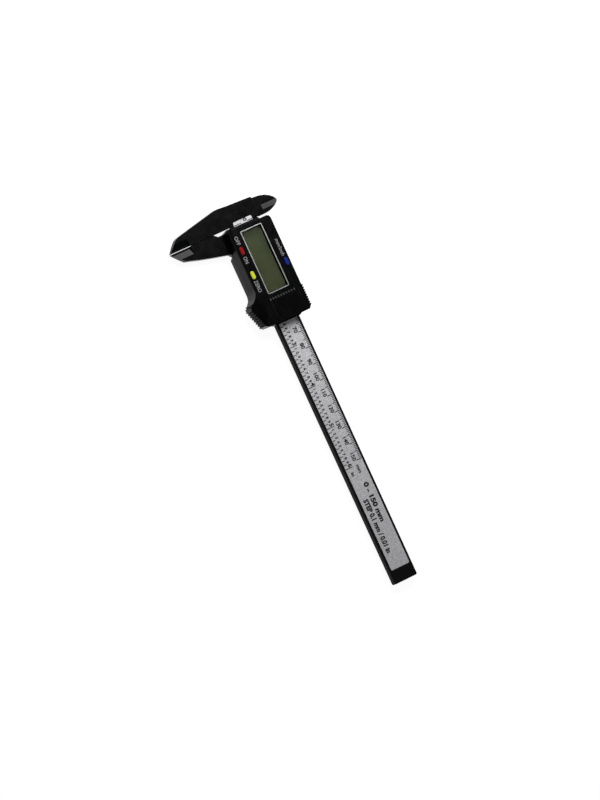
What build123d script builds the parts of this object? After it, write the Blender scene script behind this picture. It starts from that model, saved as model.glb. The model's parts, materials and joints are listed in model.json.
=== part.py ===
from build123d import *
import math
import os

# Digital caliper, 0 - 150 mm, closed on zero.  All sizes in millimetres.
# +X runs along the beam to its free end and X = 0 is where the jaws meet.
# Y = 0 is the beam's centreline, with the outside jaws on -Y.
# Z = 0 is the beam's back face and +Z comes out of the display.

# ---------------------------------------------------------------- driving dimensions
BEAM_W = 16.0              # beam width
BEAM_T = 3.5               # beam thickness
BEAM_END = 223.4           # free end of the beam
RUN = 0.10                 # running clearance between the beam and the slider

CASE_X0 = 1.8              # case, left end
CASE_X1 = 60.4             # case, right end
CASE_Y0 = -15.05           # case, outside jaw side
CASE_Y1 = 14.3             # case, inside jaw side
BACK_Z = -2.1              # back of the case, which the caliper lies on
PLATE_Z = -0.7             # joint between the back cover and the frame
PART_Z = 1.9               # joint between the frame and the front cover
FRONT_Z = 9.5              # front face of the case
WALL = 1.2                 # front cover wall
STEP = 0.1                 # how far the frame and the back cover sit inside the front cover
DRAFT = 3.5                # draft of the front cover's long walls, in degrees
CASE_ROUND = 1.5           # rounding along the front of the case, outside jaw side
EDGE_BEVEL = 0.25          # small bevel along the front edges of the beam and the jaws
TOOTH_H = 0.9              # height of the teeth on the grips
THUMB_TEETH = 8            # teeth along the thumb rest
THUMB_RIDGE = (38.0, -15.8)     # a point on the line where the thumb rest starts to slope down
THUMB_DIRECTION = (13.0, 2.1)   # the way that line runs
THUMB_RUN = 7.0                 # the sloping top falls by THUMB_DROP over this distance
THUMB_DROP = 3.4

LABEL_X0 = -2.05           # printed label
LABEL_X1 = 215.35
LABEL_HALF = 6.45
LABEL_T = 0.15
STRIP_T = 0.35             # stator strip under the label

LAYER_GAP = 0.2            # gap between the two crossing inside jaws
KNIFE_X = -4.9             # measuring edge of both inside jaws
JAW_TIP_Y = -50.4
INSIDE_TIP_Y = 26.6
JAW_GAP = 0.02             # between the closed outside jaws
KNIFE_GAP = 0.16           # extra relief of each thin outside jaw edge

SCREEN = (4.35, 43.35)     # silver frame, outside, along X
SCREEN_HALF = 7.4          # and across Y
SCREEN_Y = -0.35           # centre of the display
TRIM_W = 0.45              # width of the silver frame
BUTTON_X = {"button_power": 14.7, "button_zero": 29.7, "button_unit": 30.4}
BUTTON_Y = {"button_power": -11.75, "button_zero": -11.75, "button_unit": 11.7}
BUTTON_SIZE = (4.8, 2.3)   # length and width of a button's top
BUTTON_TRAVEL = 0.4

CELL_R = 5.8               # LR44 button cell
CELL_H = 5.4
CELL_X = 52.3
CELL_Y = 1.0
LID_X0 = 45.6              # battery lid
LID_Y = (-9.25, 9.9)
RIB_COUNT = 10             # ribs on the battery lid
RIB_PITCH = 1.86
RIB_H = 0.4

BOARD_Z = 3.75             # underside of the reader board
BOARD_T = 1.0
LCD_Z = 7.1                # underside of the display cell
LCD_T = 1.1

GROOVE_HALF = 1.7          # depth rod groove in the beam's back
ROD_HALF = 1.4
ROD_Z = (0.1, 1.6)
STOP_X = (213.9, 221.9)    # end stop plate
STOP_T = 0.8
CASE_SCREWS = [(5.2, 11.9), (5.2, -11.9), (56.4, 12.0), (56.4, -12.2)]
BOARD_SCREWS = [(41.5, 10.6), (41.5, -10.9)]
STOP_SCREWS = [(217.9, 4.6), (217.9, -4.6)]
ROD_SCREW = (12.5, 0.0)


# ---------------------------------------------------------------- small helpers
def box(x0, x1, y0, y1, z0, z1):
    """Block between two corners."""
    block = Box(x1 - x0, y1 - y0, z1 - z0, align=(Align.MIN, Align.MIN, Align.MIN))
    return Pos(x0, y0, z0) * block


def plate(points, z0, z1):
    """Flat plate with a polygon outline."""
    face = make_face(Polyline(*points, close=True))
    return Pos(0, 0, z0) * extrude(face, z1 - z0)


def rod_z(x, y, z0, z1, radius):
    """Round bar along Z."""
    return Pos(x, y, z0) * Cylinder(radius, z1 - z0, align=(Align.CENTER, Align.CENTER, Align.MIN))


def stadium(x, y, length, width, z0, z1):
    """Upright slot shape with its long way along X."""
    return Pos(x, y, z0) * extrude(SlotOverall(length, width), z1 - z0)


def bevel_front(body, size):
    """Bevel every edge round the front face of a flat body."""
    front = body.faces().sort_by(Axis.Z)[-1]
    return chamfer(front.edges(), size)


def prism_x(points_yz, x0, x1):
    """Prism along X whose section is given in Y and Z."""
    face = Plane.YZ * make_face(Polyline(*points_yz, close=True))
    return Pos(x0, 0, 0) * extrude(face, x1 - x0)


def wedge_y(points_xz, y0, y1):
    """Prism along Y whose section is given in X and Z."""
    face = Plane.XZ * make_face(Polyline(*points_xz, close=True))
    return Pos(0, y1, 0) * extrude(face, y1 - y0)


def teeth(start, end, count, depth):
    """Points of a row of triangular teeth from start to end, standing out to the right."""
    dx, dy = end[0] - start[0], end[1] - start[1]
    length = math.hypot(dx, dy)
    out = (dy / length * depth, -dx / length * depth)
    points = [start]
    for i in range(count):
        peak = (i + 0.5) / count
        foot = (i + 1.0) / count
        points.append((start[0] + dx * peak + out[0], start[1] + dy * peak + out[1]))
        points.append((start[0] + dx * foot, start[1] + dy * foot))
    return points


def screw(x, y, head_z, tip_z, shank_r, head_r, head_h):
    """Countersunk screw driven in from the back, with a cross recess."""
    head = Pos(x, y, head_z) * Cone(head_r, shank_r, head_h, align=(Align.CENTER, Align.CENTER, Align.MIN))
    shank = rod_z(x, y, head_z + head_h, tip_z, shank_r)
    slot_l, slot_w, slot_d = head_r * 1.2, head_r * 0.22, head_h * 0.5
    cross = box(x - slot_l / 2, x + slot_l / 2, y - slot_w / 2, y + slot_w / 2, head_z, head_z + slot_d)
    cross += box(x - slot_w / 2, x + slot_w / 2, y - slot_l / 2, y + slot_l / 2, head_z, head_z + slot_d)
    return head + shank - cross


def countersink(x, y, head_z, shank_r, head_r, head_h, clearance):
    """Tool that cuts the seat of a countersunk head, deep enough to go right through."""
    seat = Pos(x, y, head_z) * Cone(head_r + clearance, shank_r + clearance, head_h,
                                    align=(Align.CENTER, Align.CENTER, Align.MIN))
    return seat + rod_z(x, y, head_z, head_z + 20, shank_r + clearance)


# ---------------------------------------------------------------- beam group
OUTSIDE_BACK = [(-1.8, -49.2), (-4.8, -46.2), (-6.5, -44.2), (-7.2, -42.7), (-8.0, -39.1),
                (-12.8, -13.6), (-12.8, -11.5), (-12.3, -5.3), (-11.9, 5.0)]


def knife_wedges(side):
    """Front and back bevels that thin an outside jaw towards its tip; side is +1 or -1."""
    land, full = 1.4, 4.8
    top, end = -37.4, JAW_TIP_Y - 1
    front_deep, back_deep = BEAM_T - 1.1, 0.4
    tools = []
    for face, deep in ((BEAM_T, front_deep), (0.0, back_deep)):
        over = face + (0.5 if face else -0.5)
        section = [(side * full, face), (side * land, deep), (-side * 0.5, deep),
                   (-side * 0.5, over), (side * full, over)]
        tools.append(wedge_y(section, end, top))
    return tools


def make_beam():
    lower = [(BEAM_END, -BEAM_W / 2), (BEAM_END, BEAM_W / 2), (-11.75, BEAM_W / 2)]
    lower += OUTSIDE_BACK[::-1] + [(-0.35, JAW_TIP_Y), (0, JAW_TIP_Y + 0.2), (0, -BEAM_W / 2)]
    body = plate(lower, 0, BEAM_T)
    corners = body.edges().filter_by(Axis.Z).group_by(Axis.X)[-1]
    body = fillet(corners, 1.0)

    upper = [(-11.75, BEAM_W / 2 - 0.5), (-11.6, 11.1), (-10.6, 11.7), (-5.7, 13.9), (KNIFE_X, 14.6),
             (KNIFE_X, INSIDE_TIP_Y - 0.35), (-4.4, INSIDE_TIP_Y), (-3.0, 25.6), (-1.5, 23.5),
             (-0.2, 20.4), (0.4, 17.8), (0.6, 15.3), (0.6, 11.3), (0, 10.4), (0, BEAM_W / 2 - 0.5)]
    front_layer = (BEAM_T + LAYER_GAP) / 2
    body += plate(upper, front_layer, BEAM_T)
    body = bevel_front(body, EDGE_BEVEL)
    bevel = [(-2.05, BEAM_T), (KNIFE_X - 0.5, BEAM_T - 1.2), (KNIFE_X - 0.5, BEAM_T + 1), (-2.05, BEAM_T + 1)]
    body -= wedge_y(bevel, 15.1, INSIDE_TIP_Y + 1)

    for tool in knife_wedges(-1):
        body -= tool
    body -= box(-KNIFE_GAP, 1, JAW_TIP_Y - 1, -35.5, -1, BEAM_T + 1)

    recess_z = BEAM_T - 0.05 - LABEL_T - STRIP_T
    edge = 0.05
    body -= box(LABEL_X0 - edge, LABEL_X1 + edge, -LABEL_HALF - edge, LABEL_HALF + edge, recess_z, BEAM_T + 1)
    body -= box(6.0, BEAM_END + 1, -GROOVE_HALF, GROOVE_HALF, -1, ROD_Z[1] + 0.35)
    for x, y in STOP_SCREWS:
        body -= rod_z(x, y, -1, 2.6, 0.81)
    return body


def make_stator_strip():
    z1 = BEAM_T - 0.05 - LABEL_T
    return box(LABEL_X0 + 0.4, LABEL_X1 - 0.4, -6.1, 6.1, z1 - STRIP_T, z1)


def make_scale_label():
    z1 = BEAM_T - 0.05
    label = box(LABEL_X0, LABEL_X1, -LABEL_HALF, LABEL_HALF, z1 - LABEL_T, z1)
    return fillet(label.edges().filter_by(Axis.Z), 0.7)


def make_end_stop():
    stop = box(STOP_X[0], STOP_X[1], -6.6, 6.6, -STOP_T, 0)
    stop = fillet(stop.edges().filter_by(Axis.Z), 1.0)
    for x, y in STOP_SCREWS:
        stop -= countersink(x, y, -STOP_T, 0.8, 1.5, 0.6, 0.02)
    return stop


def make_end_stop_screws():
    return [screw(x, y, -STOP_T, 2.4, 0.8, 1.5, 0.6) for x, y in STOP_SCREWS]


# ---------------------------------------------------------------- slider case
THUMB_WALL = [(47.1, -20.2), (59.6, -15.9)]        # foot of the thumb rest's serrations
FLARE_X = 39.6                                     # where the thumb rest leaves the long wall
THUMB_FLARE = [(42.4, -16.5), (44.6, -18.5)]


def case_outline(inset, serrated, thumb_inset=0.0):
    """Outline of the case seen from the front, anticlockwise, with its grips."""
    x0, x1 = CASE_X0 + inset, CASE_X1 - inset
    y0, y1 = CASE_Y0 + inset, CASE_Y1 - inset

    def grip(start, end, count):
        return teeth(start, end, count, TOOTH_H) if serrated else [start, end]

    flare = [(x, y + inset + thumb_inset) for x, y in THUMB_FLARE]
    thumb = [(x, y + inset + thumb_inset) for x, y in THUMB_WALL]
    points = [(x0, y1 - 2.2), (x0, y0), (FLARE_X, y0), flare[0]]
    points += grip(flare[1], thumb[0], 2)[:-1]
    points += grip(thumb[0], thumb[1], THUMB_TEETH)
    points += [(x1, -14.4), (x1, y1 - 1.5), (59.4, y1 - 0.4)]
    points += grip((58.8, y1), (45.6, y1), 9)
    points += [(x0 + 2.2, y1), (x0 + 0.65, y1 - 0.65)]
    return points


def drafted_bar():
    """Bar as long as the case, with one long wall drafted and rounded over at the front."""
    lean = (FRONT_Z - PART_Z) * math.tan(math.radians(DRAFT))
    far = CASE_Y1 + TOOTH_H
    section = [(CASE_Y0, PART_Z), (far, PART_Z), (far, FRONT_Z), (CASE_Y0 + lean, FRONT_Z)]
    bar = prism_x(section, CASE_X0, CASE_X1)
    corner = bar.faces().sort_by(Axis.Z)[-1].edges().filter_by(Axis.X).sort_by(Axis.Y)[0]
    return fillet(corner, CASE_ROUND)


def thumb_tool(depth):
    """Everything in front of the sloping top of the thumb rest, moved down by depth."""
    z = FRONT_Z - depth
    far, high = 13.0, 6.0
    section = [(1.0, z), (-0.8, z - 0.3), (-THUMB_RUN, z - THUMB_DROP), (-far, z - THUMB_DROP),
               (-far, z + high), (1.0, z + high)]
    along, across = THUMB_DIRECTION
    ridge = Plane(origin=(*THUMB_RIDGE, 0), x_dir=(-across, along, 0), z_dir=(along, across, 0))
    face = ridge * make_face(Polyline(*section, close=True))
    return extrude(face, 30)


def thumb_grooves():
    """V grooves that carry the thumb rest's serrations over its sloping top."""
    pitch = (THUMB_WALL[1][0] - THUMB_WALL[0][0]) / THUMB_TEETH
    half, below, above = 0.4, 0.3, 0.5
    section = Polyline((-half, -below), (half, -below), (0, above), close=True)
    top = (-13.2, FRONT_Z - 0.2)
    grooves = []
    for i in range(THUMB_TEETH + 1):
        x = THUMB_WALL[0][0] + (i - 0.8) * pitch
        slope = Plane(origin=(x, *top), x_dir=(1, 0, 0), z_dir=(0.18, -1.0, -THUMB_DROP / THUMB_RUN))
        grooves.append(extrude(slope * make_face(section), 9))
    return grooves


MOVING_JAW = [(0.3, -10.9), (1.8, -14.5), (1.75, -18.6), (0.5, -20.2), (JAW_GAP, -20.8),
              (JAW_GAP, JAW_TIP_Y + 0.2), (0.35, JAW_TIP_Y), (1.7, -49.2), (4.2, -46.7), (7.0, -43.7),
              (8.2, -39.1), (9.7, -34.0), (12.1, -23.8), (13.2, -18.7), (13.9, -16.0),
              (15.8, -14.2), (15.8, -BEAM_W / 2 - RUN), (0.3, -BEAM_W / 2 - RUN)]

MOVING_INSIDE = [(4.0, BEAM_W / 2 + 0.2), (4.0, 10.7), (0.3, 10.7), (-3.4, 11.7), (-4.6, 13.2),
                 (KNIFE_X, 15.0), (KNIFE_X, INSIDE_TIP_Y - 0.2), (-5.3, INSIDE_TIP_Y), (-6.5, 25.6),
                 (-8.0, 23.6), (-9.3, 21.2), (-10.3, 17.4), (-10.65, 13.6), (-10.65, BEAM_W / 2 + 0.2)]


def make_slider_frame():
    half = BEAM_W / 2 + RUN
    body = plate(case_outline(STEP, True), PLATE_Z, PART_Z)
    # the lower shell starts right of the jaw, with a slanted end
    body -= plate([(-5, -8.6), (-5, -30), (16.9, -30), (16.9, -15.1), (14.4, -12.6), (14.4, -8.6)], -1, 3)
    body += box(CASE_X0 + STEP, 15.8, -BEAM_W / 2 - 4, -half, PLATE_Z, PART_Z)
    body -= box(-1, 62, -half, half, PLATE_Z - 1, PART_Z + 1)
    jaw = bevel_front(plate(MOVING_JAW, 0, BEAM_T), EDGE_BEVEL)
    for tool in knife_wedges(1):
        jaw -= tool
    jaw -= box(-1, KNIFE_GAP, JAW_TIP_Y - 1, -35.5, -1, BEAM_T + 1)
    body += jaw
    inside = plate(MOVING_INSIDE, 0, (BEAM_T - LAYER_GAP) / 2)
    bevel = [(-7.6, 0), (KNIFE_X + 0.5, 1.2), (KNIFE_X + 0.5, -1), (-7.6, -1)]
    inside -= wedge_y(bevel, 15.2, INSIDE_TIP_Y + 1)
    body += inside

    # collars at both ends, round the beam's front
    collar_z = 5.2
    left = wedge_y([(0.5, PLATE_Z + 0.7), (4.0, PLATE_Z + 0.7), (4.0, collar_z), (1.75, collar_z),
                    (0.5, BEAM_T + RUN + 0.15)], -9.9, 9.7)
    right = plate([(58.5, 9.9), (60.2, 9.9), (61.25, 7.9), (61.25, -8.3), (60.2, -10.3), (58.5, -10.3)],
                  PLATE_Z + 0.7, collar_z)
    for collar in (left, right):
        body += collar - box(-1, 62, -half, half, -5, BEAM_T + RUN)
    # ledges that carry the reader board
    for side in (-1, 1):
        y0, y1 = sorted((side * half, side * (half + 1.3)))
        body += box(4.0, 58.5, y0, y1, PART_Z - 0.5, BOARD_Z)
    for x, y in BOARD_SCREWS:
        body += rod_z(x, y, PART_Z - 0.5, BOARD_Z, 1.6)
        body -= rod_z(x, y, PART_Z - 1.6, BOARD_Z + 1, 0.62)
    for x, y in CASE_SCREWS:
        body -= rod_z(x, y, -5, 8, 0.9)
    return body


def make_back_cover():
    # the back cover stays clear of the teeth on the thumb rest
    body = plate(case_outline(STEP, False, 0.8), BACK_Z, PLATE_Z)
    body -= plate([(-5, -12.6), (-5, -30), (17.4, -30), (17.4, -15.1), (14.9, -12.6)], -5, 3)
    bottom = body.faces().sort_by(Axis.Z)[0]
    body = chamfer(bottom.edges(), 0.2)
    land = BEAM_W / 2
    body += box(CASE_X0 + 0.35, CASE_X1 - 0.35, -land, land, PLATE_Z - 0.4, -RUN)
    x, y = ROD_SCREW
    body -= box(7.8, 17.3, -2.9, 2.9, -1.3, 1)
    body -= countersink(x, y, BACK_Z, 0.7, 1.25, 0.5, 0.05)
    for x, y in CASE_SCREWS:
        body -= countersink(x, y, BACK_Z, 0.75, 1.6, 0.8, 0.1)
    return body


def make_cover_screws():
    return [screw(x, y, BACK_Z + 0.05, 7.2, 0.75, 1.6, 0.8) for x, y in CASE_SCREWS]


def make_front_cover():
    shell = plate(case_outline(0, True), PART_Z, FRONT_Z)
    thumb_x, thumb_y = 38.0, -13.0
    outer = shell & drafted_bar()
    outer += (shell & box(thumb_x, CASE_X1, -30, thumb_y, PART_Z, FRONT_Z)) - thumb_tool(0)
    for groove in thumb_grooves():
        outer -= groove

    inner_z = FRONT_Z - WALL
    inner = plate(case_outline(WALL + 0.3, False), PART_Z - 1, inner_z)
    inner -= thumb_tool(WALL + 0.4)
    # the inside jaw side is thinner, to clear the unit button
    inner += box(6.0, 44.0, 0, CASE_Y1 - 1.0, PART_Z - 1, inner_z)
    body = outer - inner

    # screw bosses
    for x, y in CASE_SCREWS:
        z0 = BEAM_T if x < 15 and y < 0 else PART_Z
        body += rod_z(x, y, z0, inner_z + 0.1, 2.0)
    for x, y in CASE_SCREWS:
        body -= rod_z(x, y, 0, 7.4, 0.76)

    # ways out for the collars, the beam and the moving jaw
    body -= box(0, 4.2, -10.0, 10.0, 0, 5.25)
    body -= box(58.0, 62, -10.4, 10.0, 0, 5.25)
    body -= box(0, 15.9, -20, -8.0, 0, BEAM_T + 0.02)

    # display opening: a shallow seat, then a smaller hole right through
    x0, x1 = SCREEN
    y0, y1 = SCREEN_Y - SCREEN_HALF, SCREEN_Y + SCREEN_HALF
    seat = box(x0, x1, y0, y1, FRONT_Z - 0.6, FRONT_Z + 1)
    seat = fillet(seat.edges().filter_by(Axis.Z), 0.8)
    ledge = 0.9
    body -= seat
    body -= box(x0 + ledge, x1 - ledge, y0 + ledge, y1 - ledge, 0, FRONT_Z + 1)

    for name in BUTTON_X:
        length, width = BUTTON_SIZE
        hole = stadium(BUTTON_X[name], BUTTON_Y[name], length + 0.3, width + 0.3, 6, FRONT_Z + 1)
        body -= hole

    # battery bay, open to the right so that the lid can slide out
    gap = 0.1
    body -= box(LID_X0 - gap, CASE_X1 + 1, LID_Y[0] - gap, LID_Y[1] + gap, inner_z - 0.9, FRONT_Z + 1)
    tongue = 0.8
    body -= box(LID_X0 - gap, CASE_X1 + 1, LID_Y[0] - tongue - gap, LID_Y[1] + tongue + gap,
                inner_z - 0.9, inner_z)
    return body


# ---------------------------------------------------------------- display and electronics
def make_display_trim():
    x0, x1 = SCREEN
    y0, y1 = SCREEN_Y - SCREEN_HALF, SCREEN_Y + SCREEN_HALF
    z0, z1 = FRONT_Z - 0.6, FRONT_Z + 0.05
    outer = fillet(box(x0, x1, y0, y1, z0, z1).edges().filter_by(Axis.Z), 0.8)
    inner = box(x0 + TRIM_W, x1 - TRIM_W, y0 + TRIM_W, y1 - TRIM_W, z0 - 1, z1 + 1)
    return outer - inner


def make_display_window():
    x0, x1 = SCREEN
    y0, y1 = SCREEN_Y - SCREEN_HALF, SCREEN_Y + SCREEN_HALF
    return box(x0 + TRIM_W, x1 - TRIM_W, y0 + TRIM_W, y1 - TRIM_W, FRONT_Z - 0.6, FRONT_Z - 0.1)


def make_lcd_glass():
    x0, x1 = SCREEN
    return box(x0 + 0.1, x1 + 0.5, SCREEN_Y - 7.7, SCREEN_Y + 7.7, LCD_Z, LCD_Z + LCD_T)


def make_zebra_strip():
    return box(7.0, 41.0, SCREEN_Y + 6.0, SCREEN_Y + 7.5, BOARD_Z + BOARD_T, LCD_Z)


def make_reader_board():
    board = box(7.8, 45.2, -13.3, 12.7, BOARD_Z, BOARD_Z + BOARD_T)
    for x, y in BOARD_SCREWS:
        board -= rod_z(x, y, 0, 10, 0.85)
    return board


def make_board_screws():
    screws = []
    top = BOARD_Z + BOARD_T
    for x, y in BOARD_SCREWS:
        shank = rod_z(x, y, 0.5, top, 0.6)
        head = rod_z(x, y, top, top + 0.8, 1.3)
        slot = box(x - 1.5, x + 1.5, y - 0.15, y + 0.15, top + 0.4, top + 1)
        screws.append(shank + head - slot)
    return screws


def make_chip_blob():
    """Low dome of potting over the bare chip."""
    radius, height = 4.0, 1.3
    sphere_r = (radius**2 + height**2) / (2 * height)
    top = BOARD_Z + BOARD_T
    ball = Pos(25, 0.5, top + height - sphere_r) * Sphere(sphere_r)
    return ball & box(15, 35, -9, 9, top, top + 5)


def make_crystal():
    top = BOARD_Z + BOARD_T
    radius = 0.95
    return Pos(36, -4.5, top + radius) * Rot(0, 90, 0) * Cylinder(radius, 6.0)


def make_board_capacitors():
    top = BOARD_Z + BOARD_T
    return [box(14 + 3 * i, 15.6 + 3 * i, 3.0, 3.8, top, top + 0.8) for i in range(3)]


def make_key_domes():
    top = BOARD_Z + BOARD_T
    domes = []
    for name in BUTTON_X:
        x, y = BUTTON_X[name], BUTTON_Y[name]
        domes.append(Pos(x, y, top) * Cone(1.3, 0.8, 0.35, align=(Align.CENTER, Align.CENTER, Align.MIN)))
    return domes


def make_battery():
    """Button cell: a can with a slightly smaller cap at the bottom."""
    z0 = BOARD_Z
    can = rod_z(CELL_X, CELL_Y, z0 + 0.5, z0 + CELL_H, CELL_R)
    can = fillet(can.edges().group_by(Axis.Z)[-1], 0.35)
    return can + rod_z(CELL_X, CELL_Y, z0, z0 + 0.5, CELL_R - 0.9)


def make_battery_contact_positive():
    leaf_y = CELL_Y + CELL_R + 0.02
    top = BOARD_Z + BOARD_T
    leaf = box(43.4, 55.5, leaf_y, leaf_y + 0.2, top, LCD_Z - 0.2)
    foot = box(43.4, 45.1, leaf_y, leaf_y + 1.8, top, top + 0.2)
    return leaf + foot


def make_battery_contact_negative():
    return box(42.0, 55.0, CELL_Y - 1.6, CELL_Y + 1.6, BOARD_Z - 0.13, BOARD_Z)


# ---------------------------------------------------------------- depth rod
def make_depth_rod():
    rod = box(8.2, BEAM_END - 0.2, -ROD_HALF, ROD_HALF, ROD_Z[0], ROD_Z[1])
    tip = plate([(BEAM_END - 2.4, ROD_HALF), (BEAM_END + 1, ROD_HALF - 2.2), (BEAM_END + 1, 5)], -1, 3)
    rod -= tip
    foot = box(8.2, 17.0, -2.6, 2.6, -1.25, -0.2)
    neck = box(8.2, 17.0, -ROD_HALF, ROD_HALF, -0.3, 0.3)
    body = rod + foot + neck
    x, y = ROD_SCREW
    return body - rod_z(x, y, -3, 0.9, 0.66)


def make_depth_rod_screw():
    x, y = ROD_SCREW
    return screw(x, y, BACK_Z + 0.03, 0.8, 0.65, 1.2, 0.5)


# ---------------------------------------------------------------- buttons and battery lid
def make_button(name):
    x, y = BUTTON_X[name], BUTTON_Y[name]
    length, width = BUTTON_SIZE
    z_top = FRONT_Z + 0.55
    cap = stadium(x, y, length, width, 6.9, z_top)
    rim = cap.edges().group_by(Axis.Z)[-1]
    cap = fillet(rim, 0.35)
    flange = stadium(x, y, length + 1.0, width + 0.5, 7.4, FRONT_Z - WALL - 0.08)
    stem_z = BOARD_Z + BOARD_T + 0.35 + BUTTON_TRAVEL + 0.05
    stem = rod_z(x, y, stem_z, 7.0, 0.9)
    return cap + flange + stem


def make_battery_cover():
    """Ribbed lid with a tongue along each side; its underside clears the cell as it slides out."""
    x0, x1 = LID_X0, CASE_X1
    y0, y1 = LID_Y
    inner_z = FRONT_Z - WALL
    skin_z = BOARD_Z + CELL_H + 0.06
    top_z = FRONT_Z + 0.1
    body = box(x0, x1, y0, y1, inner_z - 0.75, top_z)
    body += box(x0 + 0.2, x1 - 0.4, y0 - 0.7, y1 + 0.7, inner_z - 0.75, inner_z - 0.1)
    body -= box(x0 - 1, x1 - 1.0, CELL_Y - CELL_R - 0.3, CELL_Y + CELL_R + 0.6, 0, skin_z)
    middle = (y0 + y1) / 2
    foot, crest = 0.5, 0.2
    for i in range(RIB_COUNT):
        y = middle + (i - (RIB_COUNT - 1) / 2) * RIB_PITCH
        section = [(y - foot, top_z - 0.1), (y + foot, top_z - 0.1), (y + crest, top_z + RIB_H),
                   (y - crest, top_z + RIB_H)]
        body += prism_x(section, x0 + 0.3, x0 + 12.6)
    # the ribs rise gently out of the lid at both ends
    taper = 1.3
    for end, way in ((x0 + 0.3, 1), (x0 + 12.6, -1)):
        body -= wedge_y([(end, top_z), (end + way * taper, top_z + RIB_H), (end + way * taper, top_z + 2),
                         (end - way * 1.0, top_z + 2), (end - way * 1.0, top_z)], y0 - 1, y1 + 1)
    return body


# ---------------------------------------------------------------- write one STEP per node
NODES = {
    "beam": make_beam,
    "stator_strip": make_stator_strip,
    "scale_label": make_scale_label,
    "end_stop": make_end_stop,
    "end_stop_screws": make_end_stop_screws,
    "slider_frame": make_slider_frame,
    "back_cover": make_back_cover,
    "cover_screws": make_cover_screws,
    "front_cover": make_front_cover,
    "display_trim": make_display_trim,
    "display_window": make_display_window,
    "lcd_glass": make_lcd_glass,
    "zebra_strip": make_zebra_strip,
    "reader_board": make_reader_board,
    "board_screws": make_board_screws,
    "chip_blob": make_chip_blob,
    "crystal": make_crystal,
    "board_capacitors": make_board_capacitors,
    "key_domes": make_key_domes,
    "battery": make_battery,
    "battery_contact_positive": make_battery_contact_positive,
    "battery_contact_negative": make_battery_contact_negative,
    "depth_rod": make_depth_rod,
    "depth_rod_screw": make_depth_rod_screw,
    "battery_cover": make_battery_cover,
}

os.makedirs("parts", exist_ok=True)
for node, make in NODES.items():
    shape = make()
    if isinstance(shape, list):
        shape = Compound(children=shape)
    export_step(shape, f"parts/{node}.step")
for node in BUTTON_X:
    export_step(make_button(node), f"parts/{node}.step")
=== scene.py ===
import json
import math

import bmesh
import bpy
from mathutils import Matrix, Vector


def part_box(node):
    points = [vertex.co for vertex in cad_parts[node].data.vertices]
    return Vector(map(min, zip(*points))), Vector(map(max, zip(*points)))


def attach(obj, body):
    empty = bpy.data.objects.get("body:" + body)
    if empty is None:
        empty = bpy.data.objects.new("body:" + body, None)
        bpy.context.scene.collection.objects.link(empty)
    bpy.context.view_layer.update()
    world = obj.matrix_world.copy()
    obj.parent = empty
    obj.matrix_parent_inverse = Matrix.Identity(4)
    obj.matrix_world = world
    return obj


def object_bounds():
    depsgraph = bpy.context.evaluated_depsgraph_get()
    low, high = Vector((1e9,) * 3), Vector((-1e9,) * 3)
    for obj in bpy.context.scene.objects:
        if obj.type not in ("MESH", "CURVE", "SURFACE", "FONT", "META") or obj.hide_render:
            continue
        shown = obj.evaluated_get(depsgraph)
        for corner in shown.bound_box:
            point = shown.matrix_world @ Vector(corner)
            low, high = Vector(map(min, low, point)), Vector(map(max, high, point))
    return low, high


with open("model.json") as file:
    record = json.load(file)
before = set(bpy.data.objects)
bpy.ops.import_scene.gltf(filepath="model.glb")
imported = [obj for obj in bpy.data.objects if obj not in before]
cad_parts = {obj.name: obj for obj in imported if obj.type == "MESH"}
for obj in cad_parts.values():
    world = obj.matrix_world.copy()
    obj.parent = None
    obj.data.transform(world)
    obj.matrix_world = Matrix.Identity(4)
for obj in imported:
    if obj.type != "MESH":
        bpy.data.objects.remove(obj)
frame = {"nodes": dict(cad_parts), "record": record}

cad_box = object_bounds()
MM = 0.001

# ---------------------------------------------------------------- places taken from the frame
beam_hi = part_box("beam")[1]
label_lo, label_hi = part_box("scale_label")
trim_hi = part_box("display_trim")[1]
TRIM_PROUD = 0.05 * MM                   # how far the silver frame stands out of the case
FRONT_Z = trim_hi.z - TRIM_PROUD         # front face of the case
FLOOR_Z = cad_box[0].z


# ---------------------------------------------------------------- camera
def make_camera():
    """A long lens on the outside jaws' side, rolled so that the beam runs down the view."""
    tilt, lean, roll = math.radians(28.334), math.radians(-1.389), math.radians(64.772)
    distance, focal_length = 3.8165, 302.46
    aim_x, aim_y = 105.24 * MM, -14.40 * MM
    target = Vector((aim_x, aim_y, beam_hi.z))
    back = Vector((math.sin(lean) * math.cos(tilt),
                   -math.sin(tilt),
                   math.cos(tilt) * math.cos(lean))).normalized()
    right = Vector((0, 1, 0)).cross(back).normalized()
    up = back.cross(right)
    rolled_right = right * math.cos(roll) + up * math.sin(roll)
    rolled_up = up * math.cos(roll) - right * math.sin(roll)
    data = bpy.data.cameras.new("camera")
    data.lens = focal_length
    data.sensor_width = 36
    data.clip_end = 50
    cam = bpy.data.objects.new("camera", data)
    axes = Matrix((rolled_right, rolled_up, back)).transposed().to_4x4()
    cam.matrix_world = Matrix.Translation(target + back * distance) @ axes
    bpy.context.scene.collection.objects.link(cam)
    bpy.context.scene.camera = cam


make_camera()


# ---------------------------------------------------------------- material helpers
def new_material(name):
    """A node material, with what its maker needs to build on it."""
    mat = bpy.data.materials.new(name)
    mat.use_nodes = True
    nodes, links = mat.node_tree.nodes, mat.node_tree.links
    shader = nodes["Principled BSDF"]
    where = nodes.new("ShaderNodeTexCoord")
    return mat, nodes, links, shader, where


def noise(nodes, links, where, scale, detail, rough):
    """Noise fixed to the object's own metres."""
    tex = nodes.new("ShaderNodeTexNoise")
    tex.inputs["Scale"].default_value = scale
    tex.inputs["Detail"].default_value = detail
    tex.inputs["Roughness"].default_value = rough
    links.new(where.outputs["Object"], tex.inputs["Vector"])
    return tex


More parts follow.
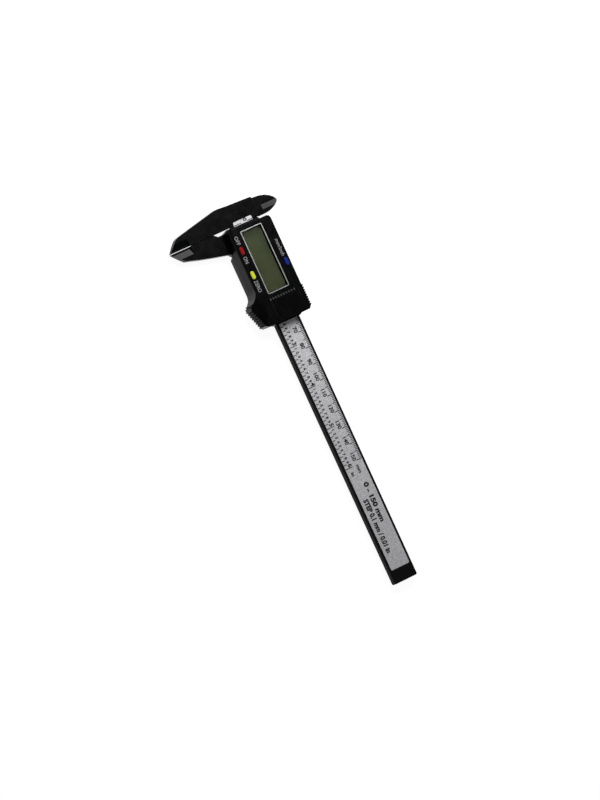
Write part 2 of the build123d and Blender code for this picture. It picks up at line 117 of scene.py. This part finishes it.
def ramp(nodes, links, source, stops):
    """Turns a value into a colour; stops are (value, colour)."""
    node = nodes.new("ShaderNodeValToRGB")
    elements = node.color_ramp.elements
    while len(elements) < len(stops):
        elements.new(0.5)
    for element, (place, colour) in zip(elements, stops):
        element.position = place
        element.color = (*colour, 1)
    links.new(source, node.inputs["Fac"])
    return node


def grey(value):
    return (value, value, value)


def bump(nodes, links, shader, height, strength, distance):
    node = nodes.new("ShaderNodeBump")
    node.inputs["Strength"].default_value = strength
    node.inputs["Distance"].default_value = distance
    links.new(height, node.inputs["Height"])
    links.new(node.outputs["Normal"], shader.inputs["Normal"])


def plastic(name, low, high, rough, grain=2500.0, specular=0.5, dull_beyond=None):
    """Moulded plastic with colour drift, fine grain and uneven gloss; rougher where X is past dull_beyond."""
    grain_strength, grain_depth = 0.12, 0.04 * MM
    mat, nodes, links, shader, where = new_material(name)
    drift = noise(nodes, links, where, 60.0, 4.0, 0.6)
    colour = ramp(nodes, links, drift.outputs["Fac"], [(0.3, low), (0.7, high)])
    links.new(colour.outputs["Color"], shader.inputs["Base Color"])
    gloss = noise(nodes, links, where, 220.0, 3.0, 0.6)
    levels = ramp(nodes, links, gloss.outputs["Fac"], [(0.3, grey(rough - 0.05)), (0.7, grey(rough + 0.06))])
    level_out = levels.outputs["Color"]
    if dull_beyond is not None:
        place = nodes.new("ShaderNodeSeparateXYZ")
        links.new(where.outputs["Object"], place.inputs["Vector"])
        blend, duller = 10 * MM, 0.35
        extra = ramp(nodes, links, place.outputs["X"],
                     [(dull_beyond, grey(0.0)), (dull_beyond + blend, grey(duller))])
        add = nodes.new("ShaderNodeMath")
        links.new(level_out, add.inputs[0])
        links.new(extra.outputs["Color"], add.inputs[1])
        level_out = add.outputs["Value"]
    links.new(level_out, shader.inputs["Roughness"])
    fine = noise(nodes, links, where, grain, 2.0, 0.5)
    bump(nodes, links, shader, fine.outputs["Fac"], grain_strength, grain_depth)
    shader.inputs["Specular IOR Level"].default_value = specular
    return mat


def metal(name, colour, rough, stretch=(1, 1, 1)):
    """Plain metal with a fine grain, drawn out along an axis where stretch is below 1."""
    brush, spread, darker = 900.0, 0.08, 0.85
    grain_strength, grain_depth = 0.1, 0.03 * MM
    mat, nodes, links, shader, where = new_material(name)
    scale = nodes.new("ShaderNodeMapping")
    scale.inputs["Scale"].default_value = stretch
    links.new(where.outputs["Object"], scale.inputs["Vector"])
    grain = nodes.new("ShaderNodeTexNoise")
    grain.inputs["Scale"].default_value = brush
    grain.inputs["Detail"].default_value = 4.0
    links.new(scale.outputs["Vector"], grain.inputs["Vector"])
    tone = ramp(nodes, links, grain.outputs["Fac"],
                [(0.3, tuple(c * darker for c in colour)), (0.7, colour)])
    links.new(tone.outputs["Color"], shader.inputs["Base Color"])
    levels = ramp(nodes, links, grain.outputs["Fac"],
                  [(0.25, grey(rough - spread)), (0.75, grey(rough + spread))])
    links.new(levels.outputs["Color"], shader.inputs["Roughness"])
    bump(nodes, links, shader, grain.outputs["Fac"], grain_strength, grain_depth)
    shader.inputs["Metallic"].default_value = 1.0
    return mat


# ---------------------------------------------------------------- materials
def label_material():
    """Silver printed film: a sparkly, partly metallic grain with an uneven satin gloss."""
    grain_strength, grain_depth = 0.25, 0.03 * MM
    mat, nodes, links, shader, where = new_material("silver_label")
    coarse = noise(nodes, links, where, 1300.0, 3.0, 0.7)
    tone = ramp(nodes, links, coarse.outputs["Fac"],
                [(0.30, (0.43, 0.43, 0.45)), (0.5, (0.62, 0.62, 0.645)), (0.72, (0.80, 0.80, 0.82))])
    links.new(tone.outputs["Color"], shader.inputs["Base Color"])
    flake = noise(nodes, links, where, 2600.0, 2.0, 0.6)
    levels = ramp(nodes, links, flake.outputs["Fac"], [(0.3, grey(0.42)), (0.7, grey(0.62))])
    links.new(levels.outputs["Color"], shader.inputs["Roughness"])
    bump(nodes, links, shader, flake.outputs["Fac"], grain_strength, grain_depth)
    shader.inputs["Metallic"].default_value = 0.35
    return mat


def window_material():
    """Clear window, very slightly hazy."""
    mat, nodes, links, shader, where = new_material("clear_window")
    haze = noise(nodes, links, where, 150.0, 3.0, 0.6)
    levels = ramp(nodes, links, haze.outputs["Fac"], [(0.35, grey(0.02)), (0.75, grey(0.07))])
    links.new(levels.outputs["Color"], shader.inputs["Roughness"])
    shader.inputs["Base Color"].default_value = (0.95, 0.97, 0.95, 1)
    shader.inputs["Transmission Weight"].default_value = 1.0
    shader.inputs["IOR"].default_value = 1.2
    return mat


def lcd_material():
    """Olive reflective display cell with nothing switched on, with painted shade darkening its left end where
    the window's recess shades it.
    """
    mat, nodes, links, shader, where = new_material("lcd_olive")
    drift = noise(nodes, links, where, 70.0, 3.0, 0.6)
    tone = ramp(nodes, links, drift.outputs["Fac"],
                [(0.3, (0.037, 0.047, 0.011)), (0.7, (0.048, 0.058, 0.016))])
    place = nodes.new("ShaderNodeSeparateXYZ")
    links.new(where.outputs["Object"], place.inputs["Vector"])
    # Painted shade: the base colour is darkened towards the cell's left end, standing in for the shade cast
    # by the window's recess.
    dark_end, plain_from, darkest = 5.5 * MM, 9.5 * MM, 0.35
    painted_shade_ramp = ramp(nodes, links, place.outputs["X"], [(dark_end, grey(darkest)), (plain_from, grey(1.0))])
    shade = nodes.new("ShaderNodeMix")
    shade.data_type = "RGBA"
    shade.blend_type = "MULTIPLY"
    shade.inputs["Factor"].default_value = 1.0
    links.new(tone.outputs["Color"], shade.inputs["A"])
    links.new(painted_shade_ramp.outputs["Color"], shade.inputs["B"])
    links.new(shade.outputs["Result"], shader.inputs["Base Color"])
    fine = noise(nodes, links, where, 1800.0, 2.0, 0.6)
    levels = ramp(nodes, links, fine.outputs["Fac"], [(0.3, grey(0.35)), (0.7, grey(0.5))])
    links.new(levels.outputs["Color"], shader.inputs["Roughness"])
    return mat


BLACK = plastic("black_plastic", (0.0014, 0.0018, 0.0016), (0.0024, 0.0029, 0.0026), 0.25, specular=0.12)
BEAM_BLACK = plastic("beam_black", (0.0016, 0.0020, 0.0018), (0.0026, 0.0031, 0.0028), 0.25, specular=0.1,
                     dull_beyond=10 * MM)
MATERIALS = {
    "black_plastic": BLACK,
    "silver_label": label_material(),
    "circuit_board": plastic("circuit_board", (0.012, 0.10, 0.035), (0.02, 0.14, 0.05), 0.35, 900.0),
    "steel": metal("drawn_steel", (0.52, 0.52, 0.54), 0.33, (0.05, 1, 1)),
    "screw_steel": metal("dark_screw", (0.20, 0.20, 0.21), 0.38),
    "trim_silver": metal("trim_silver", (0.60, 0.61, 0.60), 0.42),
    "clear_window": window_material(),
    "lcd": lcd_material(),
    "zebra": plastic("zebra_rubber", (0.36, 0.36, 0.33), (0.46, 0.46, 0.42), 0.7),
    "potting": plastic("potting", (0.006, 0.006, 0.006), (0.012, 0.012, 0.012), 0.3),
    "cell_can": metal("cell_can", (0.68, 0.67, 0.65), 0.2),
    "spring_leaf": metal("spring_leaf", (0.70, 0.55, 0.28), 0.3),
    "red_button": plastic("red_button", (0.19, 0.003, 0.004), (0.24, 0.004, 0.006), 0.42, specular=0.12),
    "yellow_button": plastic("yellow_button", (0.52, 0.56, 0.035), (0.60, 0.64, 0.05), 0.42, specular=0.12),
    "blue_button": plastic("blue_button", (0.004, 0.016, 0.17), (0.006, 0.022, 0.22), 0.42, specular=0.12),
}
PRINT_BLACK = plastic("print_black", (0.004, 0.004, 0.005), (0.010, 0.010, 0.011), 0.5, specular=0.2)
PRINT_GREY = plastic("print_grey", (0.24, 0.24, 0.24), (0.34, 0.34, 0.34), 0.5)

for entry in frame["record"]["subparts"]:
    node = frame["nodes"][entry["node"]]
    node.data.materials.clear()
    node.data.materials.append(BEAM_BLACK if entry["node"] == "beam" else MATERIALS[entry["material_slot"]])


# ---------------------------------------------------------------- printed graduations and lettering
INCH = 25.4 * MM
PRINT_T = 0.012 * MM       # thickness of a print
PRINT_Z = label_hi.z       # where the label's prints lie
EDGE = 0.15 * MM           # from the label's edge to the graduations
LINE_WIDTH = 0.46 * MM     # width of a graduation
CAP_HEIGHT = 0.69          # height of a capital in the font, for a size of 1

# how far each kind of lettering has its strokes thickened
MM_WEIGHT = 0.13 * MM
INCH_WEIGHT = 0.14 * MM
SMALL_WEIGHT = 0.12 * MM
RANGE_WEIGHT = 0.22 * MM
LEGEND_WEIGHT = 0.01 * MM


def add_block(bm, x0, x1, y0, y1, z0, z1):
    """A closed block between two corners."""
    outline = ((x0, y0), (x1, y0), (x1, y1), (x0, y1))
    corners = [bm.verts.new((x, y, z)) for z in (z0, z1) for x, y in outline]
    for face in ((3, 2, 1, 0), (4, 5, 6, 7), (0, 1, 5, 4), (1, 2, 6, 5), (2, 3, 7, 6), (3, 0, 4, 7)):
        bm.faces.new([corners[i] for i in face])


def piece_from(bm, name, material, body):
    """Makes a piece of the mesh and lets it ride on its body."""
    mesh = bpy.data.meshes.new(name)
    bm.to_mesh(mesh)
    bm.free()
    obj = bpy.data.objects.new(name, mesh)
    bpy.context.scene.collection.objects.link(obj)
    mesh.materials.append(material)
    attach(obj, body)


def tick_row(name, count, pitch, edge_y, direction, length_of):
    """Row of printed lines that start at one edge of the label; X = 0 is the scale's zero."""
    bm = bmesh.new()
    for i in range(count):
        x = i * pitch
        y0, y1 = sorted((edge_y, edge_y + direction * length_of(i)))
        add_block(bm, x - LINE_WIDTH / 2, x + LINE_WIDTH / 2, y0, y1, PRINT_Z, PRINT_Z + PRINT_T)
    piece_from(bm, name, PRINT_BLACK, "beam_body")


def lettering(name, words, material, body, z):
    """Printed words: each is (text, x, y, height, width, weight, align); a width of None keeps the font's."""
    bm = bmesh.new()
    for text, x, y, height, width, weight, align in words:
        curve = bpy.data.curves.new(name + "_word", "FONT")
        curve.body = text
        curve.size = height / CAP_HEIGHT
        curve.align_x = align
        curve.offset = weight
        curve.extrude = PRINT_T / 2
        curve.resolution_u = 3
        word = bpy.data.objects.new(name + "_word", curve)
        bpy.context.scene.collection.objects.link(word)
        bpy.context.view_layer.update()
        settled = word.evaluated_get(bpy.context.evaluated_depsgraph_get())
        mesh = bpy.data.meshes.new_from_object(settled)
        stretch = width / word.dimensions.x if width else 1.0
        place = Matrix.Translation((x, y - height / 2, z + PRINT_T / 2))
        mesh.transform(place @ Matrix.Diagonal((stretch, 1, 1, 1)))
        bm.from_mesh(mesh)
        bpy.data.objects.remove(word)
        bpy.data.meshes.remove(mesh)
    piece_from(bm, name, material, body)


def mm_length(i):
    """Every tenth millimetre line is long, every fifth is middling."""
    if i % 10 == 0:
        return 3.6 * MM
    if i % 5 == 0:
        return 2.5 * MM
    return 1.4 * MM


def inch_length(i):
    """Every tenth line is a whole inch, and long."""
    if i % 10 == 0:
        return 4.9 * MM
    return 1.9 * MM


tick_row("scale_ticks_mm", 151, 1 * MM, label_hi.y - EDGE, -1, mm_length)
tick_row("scale_ticks_inch", 61, INCH / 10, label_lo.y + EDGE, 1, inch_length)

mm_words = []
for i in range(16):
    x = 10 * i * MM
    mm_words.append((str(10 * i), x - 0.3 * MM, 1.65 * MM, 2.4 * MM, None, MM_WEIGHT, "RIGHT"))
mm_words.append(("mm", 152.3 * MM, 1.9 * MM, 2.1 * MM, 5.0 * MM, SMALL_WEIGHT, "LEFT"))
lettering("scale_numerals_mm", mm_words, PRINT_BLACK, "beam_body", PRINT_Z)

inch_words = []
for i in range(1, 61):
    x = i * INCH / 10
    if i % 10 == 0:
        inch_words.append((str(i // 10), x - 0.4 * MM, -2.6 * MM, 2.6 * MM, None, INCH_WEIGHT, "RIGHT"))
    else:
        inch_words.append((str(i % 10), x - 0.35 * MM, -3.15 * MM, 1.6 * MM, None, SMALL_WEIGHT, "RIGHT"))
inch_words.append(("in", 155.2 * MM, -3.2 * MM, 1.9 * MM, 2.3 * MM, SMALL_WEIGHT, "LEFT"))
lettering("scale_numerals_inch", inch_words, PRINT_BLACK, "beam_body", PRINT_Z)

range_words = [("0 - 150 mm", 163.5 * MM, 1.95 * MM, 2.9 * MM, 24.3 * MM, RANGE_WEIGHT, "LEFT"),
               ("STEP 0.1 mm / 0.01 in", 172.4 * MM, -2.8 * MM, 3.0 * MM, 33.1 * MM, RANGE_WEIGHT, "LEFT")]
lettering("range_print", range_words, PRINT_BLACK, "beam_body", PRINT_Z)

legend_words = [("OFF", 5.7 * MM, -11.75 * MM, 2.3 * MM, 5.1 * MM, LEGEND_WEIGHT, "LEFT"),
                ("ON", 18.2 * MM, -11.75 * MM, 2.3 * MM, 4.0 * MM, LEGEND_WEIGHT, "LEFT"),
                ("ZERO", 33.0 * MM, -11.75 * MM, 2.3 * MM, 7.2 * MM, LEGEND_WEIGHT, "LEFT"),
                ("mm/inch", 16.2 * MM, 11.7 * MM, 2.3 * MM, 10.3 * MM, LEGEND_WEIGHT, "LEFT")]
lettering("button_legends", legend_words, PRINT_GREY, "slider", FRONT_Z)


# ---------------------------------------------------------------- floor, light and surroundings
FLOOR_HALF = 6.0                         # half the floor's side
FLOOR_GAP = 0.02 * MM                    # the floor lies this far under the object
FLOOR_GREY, FLOOR_GLOW = 0.2, 0.93
HORIZON_GREY, CEILING_GREY = 0.8, 0.03
PALE_UP_TO, DARK_FROM = 0.35, 0.65       # heights on the sky, where straight up is 1
KEY_PLACE, KEY_AIM = (-0.20, 0.12, 0.29), (0.02, 0, 0)
KEY_SIZE, KEY_POWER = (0.26, 0.26), 1.85


def make_floor():
    """A pale matt floor that glows, so that it stays even."""
    mesh = bpy.data.meshes.new("floor")
    half = FLOOR_HALF
    z = FLOOR_Z - FLOOR_GAP
    corners = [(-half, -half, z), (half, -half, z), (half, half, z), (-half, half, z)]
    mesh.from_pydata(corners, [], [(0, 1, 2, 3)])
    floor = bpy.data.objects.new("floor", mesh)
    bpy.context.scene.collection.objects.link(floor)
    mat = bpy.data.materials.new("floor_white")
    mat.use_nodes = True
    shader = mat.node_tree.nodes["Principled BSDF"]
    shader.inputs["Base Color"].default_value = (*grey(FLOOR_GREY), 1)
    shader.inputs["Roughness"].default_value = 0.9
    shader.inputs["Emission Color"].default_value = (1, 1, 1, 1)
    shader.inputs["Emission Strength"].default_value = FLOOR_GLOW
    mesh.materials.append(mat)


def area_light(name, place, aim, size, power):
    """A rectangular light that faces aim."""
    data = bpy.data.lights.new(name, "AREA")
    data.shape = "RECTANGLE"
    data.size, data.size_y = size
    data.energy = power
    light = bpy.data.objects.new(name, data)
    light.location = place
    light.rotation_mode = "QUATERNION"
    light.rotation_quaternion = (Vector(aim) - Vector(place)).to_track_quat("-Z", "Y")
    bpy.context.scene.collection.objects.link(light)


def make_world():
    """Pale near the horizon and dim overhead, like a tent with a dark ceiling."""
    world = bpy.data.worlds.new("studio")
    bpy.context.scene.world = world
    world.use_nodes = True
    nodes, links = world.node_tree.nodes, world.node_tree.links
    where = nodes.new("ShaderNodeTexCoord")
    split = nodes.new("ShaderNodeSeparateXYZ")
    links.new(where.outputs["Generated"], split.inputs["Vector"])
    stops = [(0.0, grey(HORIZON_GREY)), (PALE_UP_TO, grey(HORIZON_GREY)), (DARK_FROM, grey(CEILING_GREY))]
    tone = ramp(nodes, links, split.outputs["Z"], stops)
    links.new(tone.outputs["Color"], nodes["Background"].inputs["Color"])
    nodes["Background"].inputs["Strength"].default_value = 1.0


make_floor()
make_world()
area_light("key", KEY_PLACE, KEY_AIM, KEY_SIZE, KEY_POWER)
bpy.context.scene.view_settings.view_transform = "Standard"
